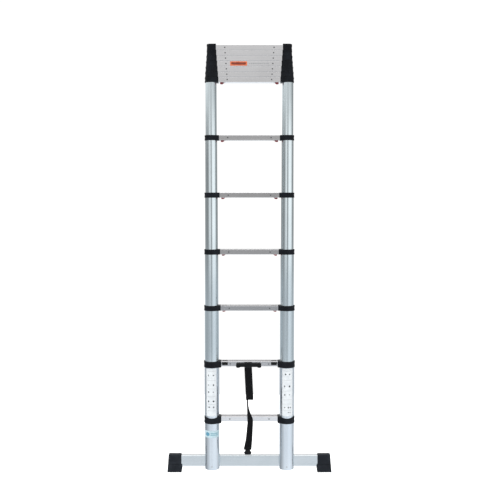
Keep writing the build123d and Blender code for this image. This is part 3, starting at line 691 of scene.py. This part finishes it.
front_place = on_rung(-0.054, rung_height(10))
label("label_orange", "section_10", "label_orange", front_place, 0.085, 0.0215)
band = [(0, 0, 0.074, 0.011)]
marks("label_orange_band", "section_10", "rust", front_place, band)
DASHES = 11
DASH_PITCH = 0.0092
DASH_HEIGHT = 0.0042
dash_place = on_rung(0.047, rung_height(10))
dashes = []
for index in range(DASHES):
    dash_length = dice.uniform(0.0035, 0.0065)
    dashes.append((DASH_PITCH * (index - DASHES // 2), 0, dash_length, DASH_HEIGHT))
marks("rung_10_dashes", "section_10", "grey", dash_place, dashes)

# ---------------------------------------------------------------- strap

STRAP_WIDTH = 0.0385
LAYER = 0.0013  # thickness of one layer of webbing
WALES = 10  # lengthwise ribs in the weave
WALE_HEIGHT = 0.00009
STRAP_COLUMNS = 60
SELVEDGE = 0.07  # share of the half width that is thicker
SELVEDGE_SWELL = 0.00022
EDGE_SHARE = 0.18  # an edge's half thickness, as a share of the layer's
FOOT_OF_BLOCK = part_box("carry_grip")[0].z * 1000
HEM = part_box("strap_upper")[0].z * 1000
TAIL_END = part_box("strap_lower")[0].z * 1000


def smooth_stations(stations, steps):
    """Catmull-Rom points through (height, across, depth, turn) stations."""
    points = []
    for index in range(len(stations) - 1):
        p0 = stations[max(index - 1, 0)]
        p1 = stations[index]
        p2 = stations[index + 1]
        p3 = stations[min(index + 2, len(stations) - 1)]
        for step in range(steps):
            t = step / steps
            points.append(
                tuple(
                    0.5
                    * (
                        2 * b
                        + (c - a) * t
                        + (2 * a - 5 * b + 4 * c - d) * t * t
                        + (3 * b - a - 3 * c + d) * t * t * t
                    )
                    for a, b, c, d in zip(p0, p1, p2, p3)
                )
            )
    points.append(stations[-1])
    return points


def strap_lines(stations, steps):
    """Centre, across and facing vectors down a strap, with the length from its top."""
    lines = []
    length = 0.0
    last = None
    for height, across, depth, turn in smooth_stations(stations, steps):
        centre = Vector((across / 1000, STILE_Y + depth / 1000, height / 1000))
        side = Vector((cos(radians(turn)), sin(radians(turn)), 0))
        facing = Vector((sin(radians(turn)), -cos(radians(turn)), 0))
        if last is not None:
            length += (centre - last).length
        last = centre
        lines.append((centre, side, facing, length))
    return lines


def strap_piece(name, lines, width=STRAP_WIDTH):
    """A layer of webbing with a ribbed weave and thicker selvedges, and its UV in metres."""
    columns = STRAP_COLUMNS
    bm = bmesh.new()
    uv = bm.loops.layers.uv.new("UVMap")
    flat = {}

    def vertex(row, column, face_side):
        centre, side, facing, length = lines[row]
        across = (column / columns - 0.5) * width
        edge = 1 - abs(2 * column / columns - 1)
        rib = WALE_HEIGHT * cos(2 * pi * WALES * column / columns)
        swell = SELVEDGE_SWELL if edge < SELVEDGE else 0.0
        half = LAYER / 2 + rib + swell
        if edge == 0:
            half = LAYER * EDGE_SHARE
        point = centre + side * across + facing * (face_side * half)
        made = bm.verts.new(point)
        flat[made] = (across, -length)
        return made

    sheets = {}
    for face_side in (1, -1):
        sheets[face_side] = [
            [vertex(row, column, face_side) for column in range(columns + 1)]
            for row in range(len(lines))
        ]

    def face(*corners):
        made = bm.faces.new(corners)
        for loop in made.loops:
            loop[uv].uv = flat[loop.vert]

    last = len(lines) - 1
    for row in range(last):
        for column in range(columns):
            for face_side in (1, -1):
                sheet = sheets[face_side]
                face(
                    sheet[row][column],
                    sheet[row][column + 1],
                    sheet[row + 1][column + 1],
                    sheet[row + 1][column],
                )
        for column in (0, columns):
            face(
                sheets[1][row][column],
                sheets[1][row + 1][column],
                sheets[-1][row + 1][column],
                sheets[-1][row][column],
            )
    for row in (0, last):
        for column in range(columns):
            face(
                sheets[1][row][column],
                sheets[1][row][column + 1],
                sheets[-1][row][column + 1],
                sheets[-1][row][column],
            )
    return new_piece(name, "base", MATERIALS["webbing_black"], bm)


def strap_point(lines, down, across, lift):
    """A point on a strap's front: down from its top, across from its middle."""
    for before, after in zip(lines, lines[1:]):
        if after[3] >= down:
            break
    share = (down - before[3]) / (after[3] - before[3])
    centre = before[0].lerp(after[0], share)
    side = before[1].lerp(after[1], share)
    facing = before[2].lerp(after[2], share)
    return centre + side * across + facing * lift


STITCH_PITCH = 0.0031
STITCH_GAP = 0.16  # share of the pitch left free at each end of a stitch
THREAD_RADIUS = 0.00033
THREAD_LIFT = 0.00012


def stitching(name, lines, rows, lift):
    """Thread along rows, each ((down, across), (down, across)), one raised loop per stitch."""
    bm = bmesh.new()
    for (down0, across0), (down1, across1) in rows:
        count = max(1, round(hypot(down1 - down0, across1 - across0) / STITCH_PITCH))
        for index in range(count):
            ends = []
            for share in ((index + STITCH_GAP) / count, (index + 1 - STITCH_GAP) / count):
                down = down0 + (down1 - down0) * share
                across = across0 + (across1 - across0) * share
                ends.append(strap_point(lines, down, across, lift))
            capsule(bm, ends[0], ends[1], THREAD_RADIUS, 6)
    return new_piece(name, "base", INKS["thread"], bm)


INKS["thread"] = plastic(
    "thread_black", rgba(0.012, 0.012, 0.013), rgba(0.035, 0.035, 0.037), 0.5, 0.6, 0.5, 4000.0
)

UPPER_STATIONS = (
    (FOOT_OF_BLOCK + 3, -7.0, -33.6, 0.0),
    (540.0, -5.2, -33.7, 0.5),
    (500.0, -3.2, -33.9, 0.0),
    (450.0, -0.6, -33.8, -0.5),
    (HEM, 1.7, -33.6, 0.0),
)
LOWER_STATIONS = (
    (FOOT_OF_BLOCK + 3, -6.0, -32.2, 0.0),
    (540.0, -4.4, -32.2, 0.0),
    (500.0, -2.5, -32.2, 0.0),
    (452.0, -0.3, -31.6, 0.0),
    (436.0, 0.5, -27.5, 14.0),
    (420.0, -5.2, -18.0, 52.0),
    (408.0, -10.0, -14.0, 77.0),
    (380.0, -9.5, -21.5, 82.0),
    (350.0, -6.0, -32.5, 73.0),
    (325.0, -0.5, -39.5, 58.0),
    (298.0, 4.0, -38.8, 42.0),
    (250.0, 1.4, -37.0, 34.0),
    (205.0, -1.8, -35.2, 26.0),
    (170.0, -6.6, -33.6, 9.0),
    (TAIL_END, -9.8, -33.0, 0.0),
)

upper_lines = strap_lines(UPPER_STATIONS, 14)
lower_lines = strap_lines(LOWER_STATIONS, 10)
upper = strap_piece("strap_upper_webbing", upper_lines)
lower = strap_piece("strap_lower_webbing", lower_lines)
upper_length = upper_lines[-1][3]
lower_length = lower_lines[-1][3]

EDGE = STRAP_WIDTH / 2 - 0.0035
BOX_TOP = upper_length - 0.036
BOX_FOOT = upper_length - 0.005
upper_stitches = stitching(
    "strap_upper_stitching",
    upper_lines,
    (
        ((BOX_TOP, -EDGE), (BOX_TOP, EDGE)),
        ((BOX_FOOT, -EDGE), (BOX_FOOT, EDGE)),
        ((BOX_TOP, -EDGE), (BOX_FOOT, -EDGE)),
        ((BOX_TOP, EDGE), (BOX_FOOT, EDGE)),
        ((BOX_TOP, -EDGE), (BOX_FOOT, EDGE)),
        ((BOX_TOP, EDGE), (BOX_FOOT, -EDGE)),
        ((0.008, -EDGE), (0.008, EDGE)),
        ((0.012, -EDGE), (0.012, EDGE)),
    ),
    LAYER / 2 + THREAD_LIFT,
)

FOLD_LENGTH = 0.019
FOLD_EXTRA = 0.0015  # wider than the strap it wraps
FOLD_GAP = 0.0001
fold_lines = [line for line in lower_lines if line[3] > lower_length - FOLD_LENGTH]
fold_lines = [
    (centre + facing * (LAYER + FOLD_GAP), side, facing, length - fold_lines[0][3])
    for centre, side, facing, length in fold_lines
]
fold = strap_piece("strap_fold", fold_lines, STRAP_WIDTH + FOLD_EXTRA)
fold_stitches = stitching(
    "strap_fold_stitching",
    fold_lines,
    (
        ((0.004, -EDGE), (0.004, EDGE)),
        ((0.008, -EDGE), (0.008, EDGE)),
        ((0.012, -EDGE), (0.012, EDGE)),
    ),
    LAYER / 2 + THREAD_LIFT,
)

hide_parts("strap_upper")
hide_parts("strap_lower")

# ---------------------------------------------------------------- room and light

FLOOR_HALF_WIDTH = 2.4
FLOOR_FRONT = -4.6
FLOOR_BACK = 1.6
FLOOR_GLOW = 0.72
FLOOR_LEVEL = -0.0003


def make_floor():
    bm = bmesh.new()
    corners = (
        (-FLOOR_HALF_WIDTH, FLOOR_FRONT),
        (FLOOR_HALF_WIDTH, FLOOR_FRONT),
        (FLOOR_HALF_WIDTH, FLOOR_BACK),
        (-FLOOR_HALF_WIDTH, FLOOR_BACK),
    )
    bm.faces.new([bm.verts.new((x, y, FLOOR_LEVEL)) for x, y in corners])
    mesh = bpy.data.meshes.new("floor")
    bm.to_mesh(mesh)
    bm.free()
    floor = bpy.data.objects.new("floor", mesh)
    bpy.context.scene.collection.objects.link(floor)
    material, tree, shader = new_material("floor_pale")
    place = add(tree, "TexCoord").outputs["Object"]
    fine = noise(tree, place, 300.0, 3.0)
    tone = mix_colour(tree, fine, rgba(0.86, 0.86, 0.86), rgba(0.89, 0.89, 0.89))
    wire(
        tree,
        shader,
        {
            "Base Color": tone,
            "Roughness": 0.85,
            "Specular IOR Level": 0.1,
            "Emission Color": rgba(1, 1, 1),
            "Emission Strength": FLOOR_GLOW,
        },
    )
    mesh.materials.append(material)
    floor.visible_glossy = False


def around(stops):
    """Ramp stops from (azimuth in degrees, brightness); 0 is towards the person's side."""
    return [(azimuth / 360 + 0.5, value) for azimuth, value in stops]


LEVEL_LIGHT = around(
    (
        (-180, 0.55),
        (-150, 0.42),
        (-128, 0.40),
        (-96, 0.33),
        (-62, 0.29),
        (-44, 0.62),
        (-30, 1.05),
        (-12, 1.08),
        (-7, 0.42),
        (8, 0.40),
        (15, 0.95),
        (27, 1.30),
        (72, 1.24),
        (90, 0.50),
        (105, 0.34),
        (150, 0.42),
        (180, 0.55),
    )
)
HIGH_LIGHT = around(
    (
        (-180, 0.78),
        (-165, 0.70),
        (-143, 1.0),
        (-74, 1.05),
        (-47, 0.86),
        (-27, 0.78),
        (0, 0.76),
        (35, 0.73),
        (57, 0.67),
        (83, 0.49),
        (114, 0.31),
        (165, 0.70),
        (180, 0.78),
    )
)
LOW_LIGHT = around(
    (
        (-180, 1.0),
        (-155, 0.80),
        (-130, 0.50),
        (-77, 0.45),
        (-38, 0.52),
        (-8, 0.56),
        (-5, 0.38),
        (5, 0.38),
        (8, 0.62),
        (15, 0.66),
        (30, 0.80),
        (48, 0.84),
        (68, 0.72),
        (90, 0.58),
        (130, 0.45),
        (155, 0.80),
        (180, 1.0),
    )
)
GROUND_LIGHT = around(
    (
        (-180, 1.0),
        (-155, 0.80),
        (-130, 0.40),
        (-110, 0.33),
        (-86, 0.49),
        (-65, 0.64),
        (-47, 0.78),
        (-30, 0.91),
        (0, 0.94),
        (34, 1.0),
        (51, 1.0),
        (70, 0.93),
        (89, 0.80),
        (116, 0.57),
        (130, 0.45),
        (155, 0.80),
        (180, 1.0),
    )
)
UPPER_TINT = rgba(0.99, 1.0, 1.0)
LOWER_TINT = rgba(1.0, 1.06, 1.12)
OVERHEAD = rgba(0.95, 0.95, 0.95)
BACKGROUND = 1.05


def between(tree, rise, start, end):
    """Goes from 0 to 1 between two elevations in degrees."""
    return spread(tree, rise, sin(radians(start)), sin(radians(end)), 0.0, 1.0)


def make_world():
    """Soft studio light: pale boxes with gaps all round, and a plain white backdrop."""
    world = bpy.data.worlds.new("studio")
    bpy.context.scene.world = world
    world.use_nodes = True
    tree = world.node_tree
    tree.nodes.clear()
    direction = add(tree, "TexCoord").outputs["Generated"]
    parts = add(tree, "SeparateXYZ", {0: direction})
    back = math_node(tree, "MULTIPLY", parts.outputs[1], -1.0)
    angle = math_node(tree, "ARCTAN2", parts.outputs[0], back)
    turn = math_node(tree, "MULTIPLY_ADD", angle, 1 / (2 * pi), 0.5)
    rise = parts.outputs[2]
    level = ramp(tree, turn, LEVEL_LIGHT)
    high = ramp(tree, turn, HIGH_LIGHT)
    low = ramp(tree, turn, LOW_LIGHT)
    ground = ramp(tree, turn, GROUND_LIGHT)
    upwards = between(tree, rise, 4, 8)
    downwards = between(tree, rise, -3, -8)
    groundwards = between(tree, rise, -12.5, -15)
    overhead = between(tree, rise, 30, 58)
    above = mix_colour(tree, overhead, mix_colour(tree, upwards, level, high), OVERHEAD)
    below = mix_colour(tree, groundwards, low, ground)
    all_round = mix_colour(tree, downwards, above, below)
    tint = mix_colour(tree, downwards, UPPER_TINT, LOWER_TINT)
    tinted = add(tree, "Mix", {0: 1.0, 6: all_round, 7: tint}, data_type="RGBA")
    tinted.blend_type = "MULTIPLY"
    seen = add(tree, "LightPath").outputs["Is Camera Ray"]
    light = add(tree, "Background", {0: tinted.outputs[2], 1: 1.0})
    backdrop = add(tree, "Background", {0: rgba(1, 1, 1), 1: BACKGROUND})
    both = add(tree, "MixShader", {0: seen, 1: light.outputs[0], 2: backdrop.outputs[0]})
    add(tree, "OutputWorld", {0: both.outputs[0]})


def make_lights():
    """One broad lamp overhead, which keeps the floor pale."""
    lamp = bpy.data.lights.new("overhead", "SUN")
    lamp.energy = 1.7
    lamp.angle = radians(70)
    lamp.specular_factor = 0.3
    holder = bpy.data.objects.new("overhead", lamp)
    holder.rotation_euler = (radians(12), radians(-8), 0)
    bpy.context.scene.collection.objects.link(holder)


make_floor()
make_world()
make_lights()
bpy.context.scene.view_settings.view_transform = "Standard"
